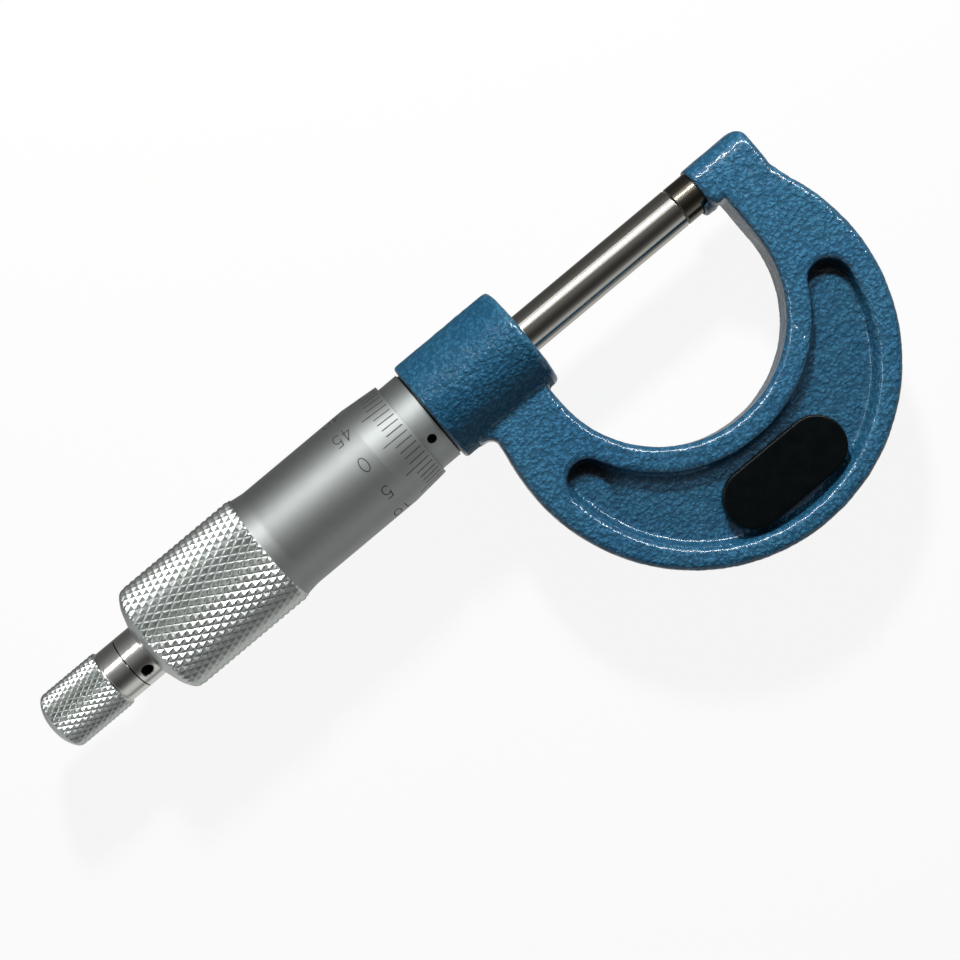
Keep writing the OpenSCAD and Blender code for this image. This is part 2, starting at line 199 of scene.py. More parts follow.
class Graph:
    """Short calls for building a material's or the world's node tree."""

    def __init__(self, tree):
        self.tree = tree

    def node(self, kind, links=None, **settings):
        """A node with its inputs linked or set, by name or number, and its settings made."""
        made = self.tree.nodes.new(kind)
        for key, value in settings.items():
            setattr(made, key, value)
        for socket, value in (links or {}).items():
            if isinstance(value, bpy.types.NodeSocket):
                self.tree.links.new(value, made.inputs[socket])
            else:
                made.inputs[socket].default_value = value
        return made

    def math(self, operation, *values):
        """The result of a math node."""
        return self.node("ShaderNodeMath", dict(enumerate(values)), operation=operation).outputs[0]

    def vector(self, operation, *values):
        """The result of a vector math node: a number for a length, otherwise a vector."""
        made = self.node("ShaderNodeVectorMath", dict(enumerate(values)), operation=operation)
        return made.outputs["Value" if operation == "LENGTH" else "Vector"]

    def ramp(self, value, *stops):
        """Maps a value through colours given as (position, (r, g, b)) or (position, grey)."""
        made = self.node("ShaderNodeValToRGB", {0: value})
        elements = made.color_ramp.elements
        while len(elements) < len(stops):
            elements.new(0.5)
        for element, (position, colour) in zip(elements, stops):
            element.position = position
            rgb = colour if isinstance(colour, tuple) else (colour,) * 3
            element.color = (*rgb, 1)
        return made.outputs[0]

    def fade(self, length_mm, *stops):
        """Maps a length of 0 to 10 mm through greys given as (length, grey)."""
        return self.ramp(self.math("DIVIDE", length_mm, 10.0), *[(stop / 10, grey) for stop, grey in stops])

    def mix(self, factor, a, b):
        """Colour a, or as much of colour b as the factor says."""
        made = self.node("ShaderNodeMix", data_type="RGBA")
        for socket, value in ((0, factor), (6, a), (7, b)):
            if isinstance(value, bpy.types.NodeSocket):
                self.tree.links.new(value, made.inputs[socket])
            else:
                made.inputs[socket].default_value = value if socket == 0 else (*value, 1)
        return made.outputs[2]

    def place(self, scale=(1, 1, 1)):
        """Object coordinates in millimetres, stretched by a scale."""
        links = {0: self.node("ShaderNodeTexCoord").outputs["Object"], "Scale": [s / MM for s in scale]}
        return self.node("ShaderNodeMapping", links).outputs[0]

    def noise(self, place, scale, detail=2.0, roughness=0.5):
        """Smooth noise from 0 to 1."""
        links = {"Vector": place, "Scale": scale, "Detail": detail, "Roughness": roughness}
        return self.node("ShaderNodeTexNoise", links).outputs["Fac"]

    def bump(self, height, distance_mm, normal=None):
        """A normal bent by a height that is worth this many millimetres at 1."""
        links = {"Height": height, "Distance": distance_mm * MM, "Strength": 1.0}
        if normal is not None:
            links["Normal"] = normal
        return self.node("ShaderNodeBump", links).outputs[0]

    def finish(self, **sockets):
        """Links values to the shader's inputs, named in lower case."""
        shader = self.tree.nodes["Principled BSDF"]
        for name, value in sockets.items():
            self.tree.links.new(value, shader.inputs[name.replace("_", " ").title()])


PAINT_COOL, PAINT_WARM = (0.032, 0.178, 0.350), (0.042, 0.201, 0.360)
# a lighter tone for the relief's crests and a dark one for its creases, partly the enamel's own tone and
# partly painted highlight and painted shade; the dark one is also painted shade in the pocket
PAINT_LIGHT, PAINT_CREASE_AND_SHADE = (0.100, 0.330, 0.490), (0.005, 0.062, 0.125)
# painted shade: a near-black colour laid along one side of each end of the pocket
PAINTED_SHADE = (0.002, 0.006, 0.010)
PAINTED_SHADE_SHIFT = (2.05, 2.45, 0)                 # to a lobe's centre from the centre of its paler part
PALER_R = 4.1                                 # the paler part's round edge


def lobe_stain(g, place):
    """How far the enamel is darkened, as painted shade, along one side of both ends of the pocket.

    The photo has deep shade there, which the lights alone leave too pale.
    """
    reach, rise = lobe_offset()
    shares = []
    for side in (-1, 1):
        centre = (POCKET_CENTRE[0] + side * reach, POCKET_CENTRE[1] + rise, 0)
        offset = g.vector("MULTIPLY", g.vector("SUBTRACT", place, centre), (1, 1, 0))
        near = g.fade(g.vector("LENGTH", offset), (LOBE_R - 0.8, 1.0), (LOBE_R + 3.0, 0.0))
        from_paler = g.vector("LENGTH", g.vector("ADD", offset, PAINTED_SHADE_SHIFT))
        past = g.fade(from_paler, (PALER_R - 0.25, 0.0), (PALER_R + 0.25, 1.0))
        shares.append(g.math("MULTIPLY", near, past))
    return g.math("MAXIMUM", *shares)


def hammered_paint(name, coat, coat_relief, shade=1.0):
    """Blue hammer-tone enamel with metal flake: rounded bumps parted by darker creases."""
    material = new_material(name, 0.25, 0.62, coat_roughness=0.045)
    material.node_tree.nodes["Principled BSDF"].inputs["Specular IOR Level"].default_value = 0.1
    g = Graph(material.node_tree)
    place = g.place()
    wobble = g.node("ShaderNodeTexNoise", {"Vector": place, "Scale": 1.1, "Detail": 2.0}).outputs["Color"]
    shifted = g.node("ShaderNodeVectorMath", {0: wobble, "Scale": 1.1}, operation="SCALE").outputs[0]
    cells = g.node(
        "ShaderNodeTexVoronoi",
        {"Vector": g.vector("ADD", place, shifted), "Scale": 1.55, "Smoothness": 0.25, "Randomness": 1.0},
        feature="SMOOTH_F1",
    ).outputs["Distance"]
    height = g.math("SUBTRACT", g.noise(place, 1.25, 2.0, 0.55), cells)
    # a shade below 1 darkens all the enamel's colours, as painted shade on the barrel's copy
    cool, warm, light = ([c * shade for c in tint] for tint in (PAINT_COOL, PAINT_WARM, PAINT_LIGHT))
    enamel = g.mix(g.ramp(g.noise(place, 0.09, 3.0), (0.35, 0.0), (0.65, 1.0)), cool, warm)
    # lighter crests and darker creases: partly the enamel's own tone, partly painted highlight and painted
    # shade of the relief
    crest = g.ramp(height, (0.1, 0.0), (0.4, 0.2))
    crease = g.ramp(height, (0.0, 0.5), (0.015, 0.2), (0.13, 0.0))
    colour = g.mix(crease, g.mix(crest, enamel, light), PAINT_CREASE_AND_SHADE)
    # painted shade: the pocket's floor and walls are darker, above all at its ends
    from_middle = g.math("ABSOLUTE", g.node("ShaderNodeSeparateXYZ", {0: place}).outputs["Z"])
    colour = g.mix(g.fade(from_middle, (2.6, 0.3), (3.6, 0.0)), colour, PAINT_CREASE_AND_SHADE)
    painted_shade = g.math("MULTIPLY", lobe_stain(g, place), g.fade(from_middle, (3.4, 1.0), (3.9, 0.0)))
    fine = g.bump(g.noise(place, 7.0, 2.0), 0.004)
    g.finish(
        base_color=g.mix(painted_shade, colour, PAINTED_SHADE),
        coat_weight=g.math("MULTIPLY", g.math("SUBTRACT", 1.0, painted_shade), coat),
        normal=g.bump(height, 0.165, fine),
        coat_normal=g.bump(height, coat_relief, fine),
    )
    return material


def turned_metal(name, colour, roughness, spread, line_mm=0.05, lines=0.004, fleck=0.06, bore=None):
    """Bare or plated metal with fine marks round the X axis, uneven polish and a few flecks.

    Inside the radius of a bore, where there is one, the metal is nearly black, as painted shade in holes and
    narrow gaps.
    """
    material = new_material(name, 1.0, roughness)
    g = Graph(material.node_tree)
    rings = g.noise(g.place((1 / line_mm, 0.15, 0.15)), 1.0, 3.0, 0.7)
    patches = g.noise(g.place(), 0.35, 3.0, 0.6)
    dust = g.noise(g.place(), 6.0, 3.0, 0.7)
    factor = g.math("MULTIPLY", g.math("SUBTRACT", patches, 0.5), fleck * 2)
    factor = g.math("ADD", factor, g.math("MULTIPLY", g.math("SUBTRACT", dust, 0.5), fleck))
    dark = [c * k for c, k in zip(colour, (0.76, 0.72, 0.67))]
    light = [c * k for c, k in zip(colour, (1.16, 1.2, 1.23))]
    metal = g.mix(g.math("ADD", factor, 0.5), dark, light)
    # painted shade: faces inside the bore's radius turn nearly black
    if bore is not None:
        from_axis = g.vector("LENGTH", g.vector("MULTIPLY", g.place(), (0, 1, 1)))
        metal = g.mix(g.math("LESS_THAN", from_axis, bore), metal, (0.012, 0.012, 0.012))
    polish = g.math("ADD", g.math("MULTIPLY", rings, 0.6), g.math("MULTIPLY", dust, 0.4))
    g.finish(
        base_color=metal,
        roughness=g.ramp(polish, (0.3, roughness - spread), (0.7, roughness + spread)),
        normal=g.bump(rings, lines, g.bump(dust, lines * 1.5)),
    )
    return material


def moulded_plastic():
    """Near-black satin plastic with a fine moulded grain."""
    material = new_material("pad_plastic", 0.0, 0.3, coat=0.12, coat_roughness=0.08)
    material.node_tree.nodes["Principled BSDF"].inputs["Specular IOR Level"].default_value = 0.06
    g = Graph(material.node_tree)
    grain = g.noise(g.place(), 9.0, 3.0, 0.65)
    patches = g.noise(g.place(), 0.5, 2.0)
    g.finish(
        base_color=g.mix(patches, (0.0010, 0.0026, 0.0034), (0.0026, 0.0046, 0.0056)),
        roughness=g.ramp(patches, (0.3, 0.22), (0.7, 0.36)),
        normal=g.bump(grain, 0.003),
    )
    return material


def filling_ink():
    """Matt black filling of the engraved lines and figures."""
    material = new_material("graduation_ink", 0.0, 0.7)
    g = Graph(material.node_tree)
    wear = g.noise(g.place(), 7.0, 2.0)
    black = g.ramp(wear, (0.3, (0.016, 0.016, 0.017)), (0.75, (0.07, 0.07, 0.072)))
    g.finish(base_color=black, normal=g.bump(wear, 0.004))
    return material


MATERIALS = {
    "hammered_paint": hammered_paint("hammered_paint", 1.0, 0.03),
    # the barrel's copy has a weaker coat, and its colours are darkened as painted shade
    "barrel_paint": hammered_paint("barrel_paint", 0.15, 0.12, shade=0.79),
    "satin_chrome": turned_metal("satin_chrome", (0.31, 0.33, 0.335), 0.52, 0.04, fleck=0.14),
    # painted shade: nearly black inside the bore radius, in the sleeve's hole
    "sleeve_chrome": turned_metal(
        "sleeve_chrome", (0.32, 0.345, 0.35), 0.52, 0.04, fleck=0.1, bore=SLEEVE_R - 0.12
    ),
    "knurled_chrome": turned_metal("knurled_chrome", (0.60, 0.635, 0.63), 0.3, 0.05),
    # painted shade: nearly black inside the bore radius, in the gap between collar and knob
    "ring_chrome": turned_metal("ring_chrome", (0.66, 0.67, 0.66), 0.2, 0.05, bore=COLLAR_R - 0.14),
    "collar_chrome": turned_metal("collar_chrome", (0.68, 0.69, 0.68), 0.19, 0.05, bore=COLLAR_R - 0.14),
    "spindle_steel": turned_metal("spindle_steel", (0.44, 0.43, 0.405), 0.13, 0.03, lines=0.002),
    "anvil_steel": turned_metal("anvil_steel", (0.135, 0.125, 0.105), 0.16, 0.04, fleck=0.2),
    "inner_steel": turned_metal("inner_steel", (0.42, 0.42, 0.43), 0.28, 0.06),
    # near-black steel: painted shade where the inner sleeve shows between the barrel and the sleeve
    "shade_painted_steel": turned_metal("shade_painted_steel", (0.03, 0.028, 0.026), 0.4, 0.05),
    "tip_brass": turned_metal("tip_brass", (0.72, 0.53, 0.24), 0.28, 0.06),
    "pad_plastic": moulded_plastic(),
    "graduation_ink": filling_ink(),
}
# nodes with a finish of their own within their slot
OWN_FINISH = {
    # the inner sleeve is nearly black, as painted shade between the barrel and the sleeve
    "inner_sleeve": "shade_painted_steel",
    "ratchet_body": "collar_chrome",
    "outer_sleeve": "sleeve_chrome",
}
for subpart in frame["record"]["subparts"]:
    node = frame["nodes"][subpart["node"]]
    finish = OWN_FINISH.get(subpart["node"], subpart["material_slot"])
    node.data.materials.clear()
    node.data.materials.append(MATERIALS[finish])


# ---------------------------------------------------------------- distance fields

def join(a, b, k):
    """Union of two distance fields with a fillet of about this size."""
    h = np.maximum(k - np.abs(a - b), 0) / k
    return np.minimum(a, b) - h * h * k / 4


def cut(a, b, k):
    """Field a with field b taken away, its edge rounded over about this size."""
    return -join(-a, b, k)


def circle(x, y, centre, r):
    """Distance to a circle in the plane."""
    return np.hypot(x - centre[0], y - centre[1]) - r


def rectangle(x, y, low_corner, high_corner, radius=0.0):
    """Distance to a rectangle in the plane, with rounded corners."""
    qx = np.abs(x - (low_corner[0] + high_corner[0]) / 2) - (high_corner[0] - low_corner[0]) / 2 + radius
    qy = np.abs(y - (low_corner[1] + high_corner[1]) / 2) - (high_corner[1] - low_corner[1]) / 2 + radius
    return np.hypot(np.maximum(qx, 0), np.maximum(qy, 0)) + np.minimum(np.maximum(qx, qy), 0) - radius


def extruded(flat, height, half, radius):
    """A flat field given a thickness either side of height 0, with its edges rounded."""
    q, h = flat + radius, np.abs(height) - half + radius
    return np.hypot(np.maximum(q, 0), np.maximum(h, 0)) + np.minimum(np.maximum(q, h), 0) - radius


def bar_x(x, y, z, r, x0, x1, radius=0.0):
    """A cylinder on the spindle's axis between two stations, with rounded rims."""
    return extruded(np.hypot(y, z) - r, x - (x0 + x1) / 2, (x1 - x0) / 2, radius)


def post_z(x, y, z, r, z0, z1, radius=0.0):
    """A cylinder on the lock's axis between two heights, with rounded rims."""
    return extruded(np.hypot(x - LOCK_X, y) - r, z - (z0 + z1) / 2, (z1 - z0) / 2, radius)


def from_field(name, field, low_corner, high_corner, pitch, sharp_angle=None):
    """Meshes the zero surface of a distance field on an even grid between two corners."""
    axes = [
        np.arange(a - 2 * pitch, b + 3 * pitch, pitch, dtype=np.float32)
        for a, b in zip(low_corner, high_corner)
    ]
    x, y, z = np.meshgrid(*axes, indexing="ij")
    far = 2.0
    grid = openvdb.FloatGrid(background=far)
    grid.copyFromArray(np.clip(field(x, y, z), -far, far).astype(np.float32))
    points, quads = grid.convertToQuads(isovalue=0.0)[:2]
    points = np.asarray(points, float) * pitch + [float(a[0]) for a in axes]
    return mesh_object(name, points, quads, sharp_angle)


# ---------------------------------------------------------------- the painted casting

def outline(x, y):
    """The bow, its neck and its arm, seen from the back."""
    bow = np.maximum(circle(x, y, BOW_CENTRE, BOW_R), y - SHOULDER_Y)
    left_wall, right_wall = THROAT_CENTRE[0] - THROAT_R, THROAT_CENTRE[0] + THROAT_R
    neck = rectangle(x, y, (NECK_X, -25), (left_wall, 0))
    arm = rectangle(x, y, (ANVIL_REACH - 12.0, -15), (ARM_X, ARM_TOP), ARM_CORNER_R)
    arm = np.maximum(arm, ANVIL_REACH - x)
    body = join(join(bow, arm, 1.4), neck, 1.0)
    throat = np.minimum(
        circle(x, y, THROAT_CENTRE, THROAT_R),
        rectangle(x, y, (left_wall, THROAT_CENTRE[1]), (right_wall, -ARM_TOP)),
    )
    return cut(body, throat, 0.5)


def neck_fillet(x, y):
    """The small web between the neck's outer edge and the barrel."""
    block = rectangle(x, y, (NECK_X - 2, -BARREL_R - 2), (NECK_X + 1, -BARREL_R + 2))
    return np.maximum(block, -circle(x, y, (NECK_X - 2, -BARREL_R - 2), 2))


def pocket_outline(x, y):
    """A crescent between two circles with a round lobe at each end."""
    reach, rise = lobe_offset()
    lobe_y = POCKET_CENTRE[1] + rise
    across = np.abs(x - POCKET_CENTRE[0])
    inner_centre = (POCKET_CENTRE[0], THROAT_CENTRE[1])
    crescent = np.maximum(
        circle(x, y, POCKET_CENTRE, POCKET_R), -circle(x, y, inner_centre, POCKET_INNER_R)
    )
    # the crescent ends on the line from the pocket's centre through the lobe's centre
    past_lobe = ((y - lobe_y) * reach - (across - reach) * rise) / math.hypot(reach, rise)
    lobe = np.hypot(across - reach, y - lobe_y) - LOBE_R
    return join(np.maximum(crescent, past_lobe), lobe, 0.8)


def casting_field(x, y, z):
    """Distance to the casting's surface, negative inside it."""
    bow = extruded(np.minimum(outline(x, y), neck_fillet(x, y)), z, HALF_T, 1.1)
    # the arm is rounded over the anvil
    round_top = (np.hypot(np.maximum(y - 0.2, 0) * HALF_T / (ARM_TOP - 0.2), z) - HALF_T) * 0.85
    bow = np.where(x > ANVIL_REACH - 2, -join(-bow, -round_top, 0.6), bow)
    rear = bar_x(x, y, z, BARREL_R, BARREL_REAR, BARREL_FRONT - 4, 0.4)
    front = bar_x(x, y, z, BARREL_R, BARREL_REAR + 4, BARREL_FRONT, 0.8)
    body = join(bow, np.minimum(rear, front), 0.9)
    # the pocket's walls slope, most at its outer edge, and its floor is rounded
    depth = HALF_T - np.abs(z)
    lean = 0.04 + 0.28 * np.clip(1 + circle(x, y, POCKET_CENTRE, POCKET_R) / 4, 0, 1)
    wall = pocket_outline(x, y) * 0.97 + (depth - 0.3) * lean
    body = cut(body, -join(-wall, -(depth - POCKET_DEPTH), 0.9), 0.7)
    # a short lip under the anvil
    lip = bar_x(x, y, z, SPINDLE_R + 0.8, ANVIL_REACH - 1.0, ANVIL_REACH + 1, 0.4)
    body = join(body, np.maximum(lip, y + 2.6), 0.8)
    bores = np.minimum(
        bar_x(x, y, z, 5.2, BARREL_REAR - 2, BARREL_FRONT - 1.0),
        bar_x(x, y, z, SPINDLE_R + 0.3, BARREL_FRONT - 3, BARREL_FRONT + 2),
    )
    bores = np.minimum(bores, bar_x(x, y, z, SPINDLE_R - 0.25, ANVIL_REACH - 6, ANVIL_END + 0.1))
    bores = np.minimum(bores, bar_x(x, y, z, SPINDLE_R + 0.06, ANVIL_REACH - 6, ANVIL_REACH))
    spot_face = np.minimum(post_z(x, y, z, 4.6, -14, -7.5), post_z(x, y, z, 2.05, -14, 0))
    return cut(body, np.minimum(bores, spot_face), 0.25)


def hammer(obj):
    """Raises the low bumps of the hammered paint, away from the turned and drilled faces."""
    mesh = obj.data
    for vertex, normal in zip(mesh.vertices, [n.vector.copy() for n in mesh.vertex_normals]):
        p = vertex.co / MM
        bore = math.hypot(p.y, p.z)
        if bore < 5.3 and (p.x < BARREL_FRONT - 0.2 or abs(p.x - ANVIL_REACH) < 1.5):
            continue
        cells = noise.voronoi(p / 1.05)[0]
        bump = min(cells[1] - cells[0], 0.5) - 0.25 + 0.35 * noise.noise(p / 0.55)
        vertex.co -= normal * (bump * 0.08 + 0.05 * noise.noise(p / 2.2)) * MM


casting = from_field(
    "frame_casting", casting_field, (BARREL_REAR, BOW_CENTRE[1] - BOW_R, -BARREL_R),
    (BOW_CENTRE[0] + BOW_R, BARREL_R, BARREL_R), CASTING_GRID
)
hammer(casting)
dress(casting, MATERIALS["hammered_paint"], "frame", ["frame"])
second_finish(
    casting, MATERIALS["barrel_paint"], BARREL_REAR + 0.6, BARREL_FRONT - 1.0, BARREL_R - 0.3, BARREL_R + 0.2
)


# ---------------------------------------------------------------- turned pieces

def softened(points):
    """Rounds the corners of an outline of (x, r, rounding) and adds rows that keep its faces flat."""
    rounded = []
    count = len(points)
    for i, (x, r, rounding) in enumerate(points):
        if not rounding:
            rounded.append((x, r))
            continue
        corner = Vector((x, r))
        before = (Vector(points[i - 1][:2]) - corner).normalized() * rounding
        after = (Vector(points[(i + 1) % count][:2]) - corner).normalized() * rounding
        for k in range(5):
            t = k / 4
            p = corner + before * (1 - t) ** 2 + after * t**2
            rounded.append((p.x, p.y))
    rows = []
    for i, a in enumerate(rounded):
        b = rounded[(i + 1) % len(rounded)]
        rows.append((*a, None))
        length = math.dist(a, b)
        if length > 0.25:
            for t in (0.05 / length, 1 - 0.05 / length):
                rows.append((a[0] + (b[0] - a[0]) * t, a[1] + (b[1] - a[1]) * t, None))
    return rows


def knurled_rows(rows, start, end, step, least):
    """Puts lattice rows in place of the rows between two stations that lie outside a radius."""
    inside = [i for i, (x, r, _) in enumerate(rows) if end < x < start and r > least]
    outer = [(x, r) for x, r, _ in rows[inside[0] - 1 : inside[-1] + 2]]
    xs, rs = zip(*sorted(outer))
    count = round((start - end) / step)
    lattice = [(start - i * step, float(np.interp(start - i * step, xs, rs)), i) for i in range(count + 1)]
    return rows[: inside[0]] + lattice + rows[inside[-1] + 1 :]


def turned(name, rows, segments, knurl=None, sharp_angle=28):
    """Revolves rows of (x, r, lattice row) round the X axis. A knurl is (cells per pitch, crest, depth)."""
    turns = np.arange(segments) * 2 * math.pi / segments
    points = []
    for x, r, row in rows:
        radius = np.full(segments, r)
        if row is not None:
            cells, crest, depth = knurl
            j = np.arange(segments)
            grooves = [1 - np.abs(2 * (((row + s * j) / cells) % 1) - 1) for s in (1, -1)]
            height = np.clip(np.minimum(*grooves), 0.07, 0.86) / 0.86
            radius = np.minimum(radius, crest - depth * (1 - height))
        points += [(x, c, s) for c, s in zip(radius * np.cos(turns), radius * np.sin(turns))]
    faces = []
    for i, (_, _, row) in enumerate(rows):
        k = (i + 1) % len(rows)
        following = rows[k][2]
        for j in range(segments):
            m = (j + 1) % segments
            a, b, c, d = i * segments + j, i * segments + m, k * segments + m, k * segments + j
            if row is not None and following is not None:
                if (row + j + 1) % knurl[0] == 0:
                    faces += [(a, b, d), (b, c, d)]
                    continue
                if (row - j) % knurl[0] == 0:
                    faces += [(a, b, c), (a, c, d)]
                    continue
            faces.append((a, b, c, d))
    return face_outward(mesh_object(name, points, faces), sharp_angle, merge=True)


def thimble():
    """The thimble, with its bevelled front, knurled band and domed rear face."""
    f, rear = THIMBLE_FRONT, THIMBLE_REAR
    rows = softened([
        (f, BORE_R, 0.03), (f, BEVEL_R, 0.05), (f - BEVEL_LENGTH, BODY_R, 0.0),
        (f - 25.55, BODY_R, 0.3), (f - KNURL_START, BODY_R + 0.28, 0.15), (f - 28.05, KNURL_R, 0.0),
        (f - 48.5, KNURL_R, 0.5), (f - 49.35, KNURL_R - 0.35, 0.4), (f - 50.25, KNURL_R - 1.7, 0.5),
        (rear + 0.2, 5.3, 0.2), (rear, 4.7, 0.1), (rear, 3.33, 0.0), (rear + 2.55, 3.33, 0.0),
        (f - 41.2, 4.23, 0.0), (f - 41.2, BORE_R, 0.0),
    ])
    rows = knurled_rows(rows, f - KNURL_START, f - 49.75, 2.14 / KNURL_CELLS, BODY_R - 0.5)
    return turned("thimble_shell", rows, 44 * KNURL_CELLS, (KNURL_CELLS, KNURL_R, 0.46), 22)


def knob():
    """The ratchet's knob, with its smooth ring, knurled grip and open counterbore."""
    f, rear = KNOB_FRONT, KNOB_REAR
    rows = softened([
        (f, 3.4, 0.0), (f, 4.1, 0.0), (f - 0.14, 4.15, 0.0), (f - 0.14, 4.45, 0.03),
        (f - 3.3, 4.45, 0.08), (f - 3.55, 4.36, 0.0), (f - 3.85, KNOB_R, 0.1),
        (rear + 1.7, KNOB_R, 0.4), (rear + 1.1, KNOB_R - 0.2, 0.3), (rear + 0.6, KNOB_R - 0.8, 0.3),
        (rear + 0.2, 3.35, 0.2), (rear, 2.85, 0.05), (rear, 2.75, 0.0), (rear + 5.37, 2.75, 0.0),
        (rear + 5.37, 2.13, 0.0), (rear + 8.42, 2.13, 0.0), (rear + 8.42, 3.4, 0.0),
    ])
    rows = knurled_rows(rows, f - GRIP_START, rear + 0.9, 1.6 / KNURL_CELLS, 3.8)
    return turned("knob_grip", rows, 32 * KNURL_CELLS, (KNURL_CELLS, KNOB_R, 0.3), 22)


def spindle():
    """The ground spindle, with a bright bevel at its measuring face and a thread behind."""
    f, rear, r = SPINDLE_TIP, SPINDLE_REAR, SPINDLE_R
    rows = softened([
        (f, 0.0, 0.0), (f, r - FACE_BEVEL, 0.02), (f - FACE_BEVEL, r, 0.02), (f - 46.3, r, 0.0),
        (f - 46.8, 3.75, 0.0), (f - 84.5, 3.75, 0.0), (f - 84.7, 3.3, 0.0), (f - 85.5, 3.3, 0.0),
        (f - 85.9, 4.2, 0.0), (f - 93.0, 4.2, 0.0), (rear, 3.3, 0.0), (rear, 2.03, 0.0),
        (rear + 7.4, 2.03, 0.0), (rear + 7.4, 0.0, 0.0),
    ])
    return turned("spindle_rod", rows, 160)


def anvil():
    """The dark anvil pin, with its measuring face at the origin."""
    r, shank_r = SPINDLE_R, SPINDLE_R - 0.25
    rows = softened([
        (0.0, 0.0, 0.0), (0.0, r - FACE_BEVEL, 0.02), (FACE_BEVEL, r, 0.02), (ANVIL_REACH, r, 0.0),
        (ANVIL_REACH, shank_r, 0.0), (ANVIL_END, shank_r, 0.0), (ANVIL_END, 0.0, 0.0),
    ])
    return turned("anvil_pin", rows, 160)


def pad(name, side):
    """A heat-insulating pad: a stadium with a rounded edge, let into the pocket."""
    near, far = HALF_T - POCKET_DEPTH, HALF_T - 0.2
    half_w, straight = PAD_WIDTH / 2, (PAD_LENGTH - PAD_WIDTH) / 2
    profile = [(0.0, near), (0.0, far - 0.4), (0.05, far - 0.16), (0.15, far - 0.05), (0.3, far - 0.01)]
    profile += [(inset, far) for inset in (0.4, 0.7, 2.0, 3.4, 4.5)]
    turns = 48
    points = []
    for inset, height in profile:
        for k in range(2 * turns + 2):
            end = 1 if k <= turns else -1
            angle = (k - (k > turns)) * math.pi / turns - math.pi / 2
            points.append((
                PAD_CENTRE[0] + end * straight + (half_w - inset) * math.cos(angle),
                PAD_CENTRE[1] + (half_w - inset) * math.sin(angle), side * height,
            ))
    ring = 2 * turns + 2
    faces = [
        (i * ring + k, i * ring + (k + 1) % ring, (i + 1) * ring + (k + 1) % ring, (i + 1) * ring + k)
        for i in range(len(profile) - 1) for k in range(ring)
    ]
    faces += [tuple(range(ring)), tuple(range((len(profile) - 1) * ring, len(profile) * ring))]
    return face_outward(mesh_object(name, points, faces), 40)


shell = dress(thimble(), MATERIALS["satin_chrome"], "thimble", ["thimble"])
second_finish(shell, MATERIALS["knurled_chrome"], THIMBLE_REAR - 1, THIMBLE_FRONT - KNURL_START, COLLAR_R)
grip = dress(knob(), MATERIALS["ring_chrome"], "ratchet_knob", ["ratchet_knob"])
second_finish(grip, MATERIALS["knurled_chrome"], KNOB_REAR - 1, KNOB_FRONT - GRIP_START, 2.0)
dress(spindle(), MATERIALS["spindle_steel"], "spindle", ["spindle"])
dress(anvil(), MATERIALS["anvil_steel"], "frame", ["anvil"])
dress(pad("back_pad_moulding", 1), MATERIALS["pad_plastic"], "frame", ["back_pad"])
dress(pad("front_pad_moulding", -1), MATERIALS["pad_plastic"], "frame", ["front_pad"])


# ---------------------------------------------------------------- graduations

def arc(cx, cy, rx, ry, first, last, steps=14):
    """Points on an ellipse between two angles in degrees."""
    angles = np.radians(np.linspace(first, last, steps))
    return [(cx + rx * math.cos(a), cy + ry * math.sin(a)) for a in angles]


FIGURES = {
    "0": [arc(0.5, 0.5, 0.5, 0.5, 90, 450, 24)],
    "1": [[(0.18, 0.78), (0.55, 1.0), (0.55, 0.0)]],
    "2": [arc(0.5, 0.72, 0.45, 0.28, 165, -30) + [(0.05, 0.0), (1.0, 0.0)]],
    "3": [arc(0.45, 0.76, 0.42, 0.24, 155, -90) + arc(0.45, 0.26, 0.5, 0.26, 90, -155)],
    "4": [[(0.72, 0.0), (0.72, 1.0), (0.0, 0.3), (1.0, 0.3)]],
    "5": [[(0.9, 1.0), (0.2, 1.0), (0.1, 0.52)] + arc(0.46, 0.34, 0.5, 0.34, 140, -150)],
}
FIGURE_SIZE, FIGURE_GAP = (1.25, 2.3), 0.42


